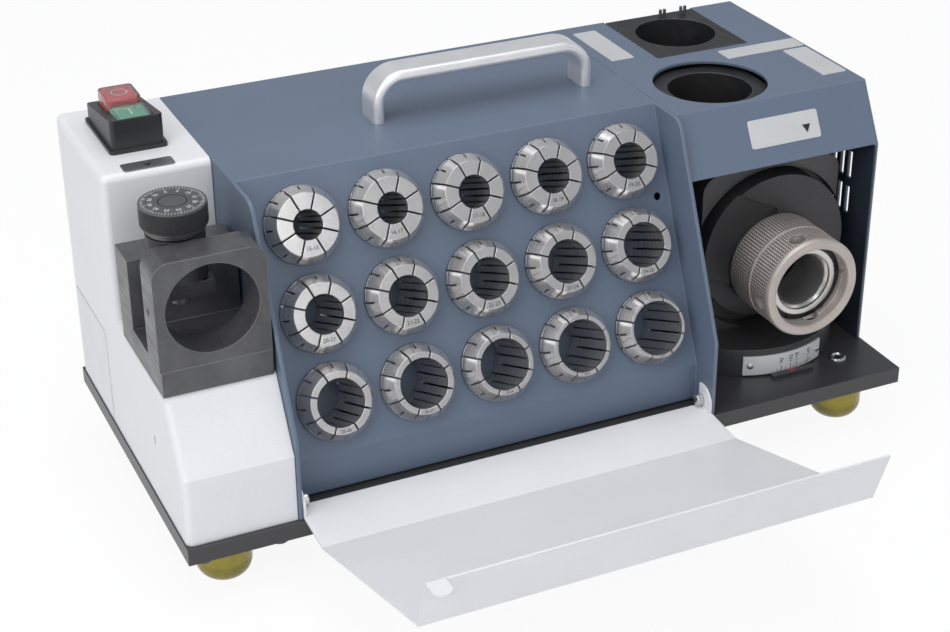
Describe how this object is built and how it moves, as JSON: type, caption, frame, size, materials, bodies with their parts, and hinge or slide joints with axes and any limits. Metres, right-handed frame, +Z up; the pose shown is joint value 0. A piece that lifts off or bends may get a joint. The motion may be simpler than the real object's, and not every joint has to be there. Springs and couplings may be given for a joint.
{
  "type": "drill bit sharpener",
  "caption": "Bench drill bit sharpener with a sloped collet rack, fold-down tray, setting gauge, carrying handle, chuck ports and a swivelling chuck in front of a grinding wheel.",
  "frame": {"origin": "on the floor under the middle of the object's box, tray open", "axes": "+X to the right along the base, +Y to the back, +Z up"},
  "size_m": [0.43, 0.3882, 0.223],
  "materials": {
    "black_enamel": "satin black paint",
    "white_enamel": "fine textured white paint",
    "blue_enamel": "fine textured slate blue paint",
    "motor_paint": "grey paint",
    "black_steel": "blackened steel",
    "bright_steel": "bright zinc plate",
    "collet_steel": "ground bright steel",
    "nickel_steel": "satin nickel plate",
    "satin_aluminium": "satin anodised",
    "scale_metal": "brushed plate",
    "abrasive": "bonded abrasive grit",
    "dark_plastic": "black moulded plastic",
    "black_knob": "knurled black knob",
    "red_button": "gloss red",
    "green_button": "gloss green",
    "amber_rubber": "clear amber rubber"
  },
  "bodies": {
    "machine": {"angle_pointer": "black_enamel", "base_plate": "black_enamel", "cable_gland": "dark_plastic", "capacitor": "dark_plastic", "collet_back_plate": "blue_enamel", "foot_front_left": "amber_rubber", "foot_front_right": "amber_rubber", "foot_rear_left": "amber_rubber", "foot_rear_right": "amber_rubber", "foot_screws": "bright_steel", "front_port": "black_steel", "gauge_base": "black_steel", "gauge_block": "black_steel", "gauge_carrier": "black_steel", "handle": "satin_aluminium", "handle_screws": "bright_steel", "housing_screws": "black_steel", "left_housing": "white_enamel", "main_cover": "blue_enamel", "motor_bearings": "bright_steel", "motor_cradle": "black_enamel", "motor_housing": "motor_paint", "port_pins": "black_steel", "port_stand": "black_steel", "rear_port": "black_steel", "right_housing": "blue_enamel", "switch_body": "dark_plastic", "swivel_pivot": "bright_steel", "tray_screws": "bright_steel"},
    "tray": {"tray": "white_enamel"},
    "gauge_knob": {"gauge_knob": "black_knob"},
    "gauge_stop": {"gauge_stop": "black_steel"},
    "stop_button": {"stop_button": "red_button"},
    "start_button": {"start_button": "green_button"},
    "swivel": {"swivel_base": "black_enamel", "scale_plate": "scale_metal", "port_block": "black_steel"},
    "chuck": {"chuck_flange": "black_steel", "chuck_body": "nickel_steel", "chuck_ring": "bright_steel"},
    "chuck_nut": {"chuck_nut": "nickel_steel"},
    "spindle": {"motor_shaft": "bright_steel", "grinding_wheel": "abrasive", "wheel_flanges": "bright_steel", "wheel_nut": "bright_steel"},
    "collet_16": {"collet_16": "collet_steel"},
    "collet_17": {"collet_17": "collet_steel"},
    "collet_18": {"collet_18": "collet_steel"},
    "collet_19": {"collet_19": "collet_steel"},
    "collet_20": {"collet_20": "collet_steel"},
    "collet_21": {"collet_21": "collet_steel"},
    "collet_22": {"collet_22": "collet_steel"},
    "collet_23": {"collet_23": "collet_steel"},
    "collet_24": {"collet_24": "collet_steel"},
    "collet_25": {"collet_25": "collet_steel"},
    "collet_26": {"collet_26": "collet_steel"},
    "collet_27": {"collet_27": "collet_steel"},
    "collet_28": {"collet_28": "collet_steel"},
    "collet_29": {"collet_29": "collet_steel"},
    "collet_30": {"collet_30": "collet_steel"}
  },
  "joints": [
    {"name": "tray_hinge", "type": "hinge", "parent": "machine", "child": "tray", "pos_m": [-0.0319, -0.01456, 0.043], "axis": [1, 0, 0], "range_deg": [-97.5, 0]},
    {"name": "gauge_knob_turn", "type": "hinge", "parent": "machine", "child": "gauge_knob", "pos_m": [-0.192, 0.03294, 0.1865], "axis": [0, 0, 1], "range_deg": [-156, 156]},
    {"name": "gauge_stop_slide", "type": "slide", "parent": "machine", "child": "gauge_stop", "axis": [0, 0, 1], "range_m": [-0.0025, 0.0025]},
    {"name": "stop_button_press", "type": "slide", "parent": "machine", "child": "stop_button", "axis": [0, 0, 1], "range_m": [-0.004, 0], "stiffness_N_per_m": 300},
    {"name": "start_button_press", "type": "slide", "parent": "machine", "child": "start_button", "axis": [0, 0, 1], "range_m": [-0.004, 0], "stiffness_N_per_m": 300},
    {"name": "swivel_turn", "type": "hinge", "parent": "machine", "child": "swivel", "pos_m": [0.152, 0.05994, 0.0445], "axis": [0, 0, 1], "range_deg": [-11, 12]},
    {"name": "chuck_turn", "type": "hinge", "parent": "swivel", "child": "chuck", "pos_m": [0.156, 0.02514, 0.0973], "axis": [0, -1, 0], "range_deg": [-30, 30]},
    {"name": "chuck_nut_turn", "type": "hinge", "parent": "chuck", "child": "chuck_nut", "pos_m": [0.156, -0.00406, 0.0973], "axis": [0, -1, 0], "range_deg": [0, 360]},
    {"name": "spindle_turn", "type": "hinge", "parent": "machine", "child": "spindle", "pos_m": [0.13, 0.10644, 0.1025], "axis": [1, 0, 0], "continuous": true},
    {"name": "collet_16_lift", "type": "slide", "parent": "machine", "child": "collet_16", "axis": [0, -0.9171, 0.3987], "range_m": [0, 0.05]},
    {"name": "collet_17_lift", "type": "slide", "parent": "machine", "child": "collet_17", "axis": [0, -0.9171, 0.3987], "range_m": [0, 0.05]},
    {"name": "collet_18_lift", "type": "slide", "parent": "machine", "child": "collet_18", "axis": [0, -0.9171, 0.3987], "range_m": [0, 0.05]},
    {"name": "collet_19_lift", "type": "slide", "parent": "machine", "child": "collet_19", "axis": [0, -0.9171, 0.3987], "range_m": [0, 0.05]},
    {"name": "collet_20_lift", "type": "slide", "parent": "machine", "child": "collet_20", "axis": [0, -0.9171, 0.3987], "range_m": [0, 0.05]},
    {"name": "collet_21_lift", "type": "slide", "parent": "machine", "child": "collet_21", "axis": [0, -0.9171, 0.3987], "range_m": [0, 0.05]},
    {"name": "collet_22_lift", "type": "slide", "parent": "machine", "child": "collet_22", "axis": [0, -0.9171, 0.3987], "range_m": [0, 0.05]},
    {"name": "collet_23_lift", "type": "slide", "parent": "machine", "child": "collet_23", "axis": [0, -0.9171, 0.3987], "range_m": [0, 0.05]},
    {"name": "collet_24_lift", "type": "slide", "parent": "machine", "child": "collet_24", "axis": [0, -0.9171, 0.3987], "range_m": [0, 0.05]},
    {"name": "collet_25_lift", "type": "slide", "parent": "machine", "child": "collet_25", "axis": [0, -0.9171, 0.3987], "range_m": [0, 0.05]},
    {"name": "collet_26_lift", "type": "slide", "parent": "machine", "child": "collet_26", "axis": [0, -0.9171, 0.3987], "range_m": [0, 0.05]},
    {"name": "collet_27_lift", "type": "slide", "parent": "machine", "child": "collet_27", "axis": [0, -0.9171, 0.3987], "range_m": [0, 0.05]},
    {"name": "collet_28_lift", "type": "slide", "parent": "machine", "child": "collet_28", "axis": [0, -0.9171, 0.3987], "range_m": [0, 0.05]},
    {"name": "collet_29_lift", "type": "slide", "parent": "machine", "child": "collet_29", "axis": [0, -0.9171, 0.3987], "range_m": [0, 0.05]},
    {"name": "collet_30_lift", "type": "slide", "parent": "machine", "child": "collet_30", "axis": [0, -0.9171, 0.3987], "range_m": [0, 0.05]}
  ],
  "couplings": [
    {"joint": "gauge_knob_turn", "follows": "gauge_stop_slide", "rad_per_m": 1047.2}
  ]
}
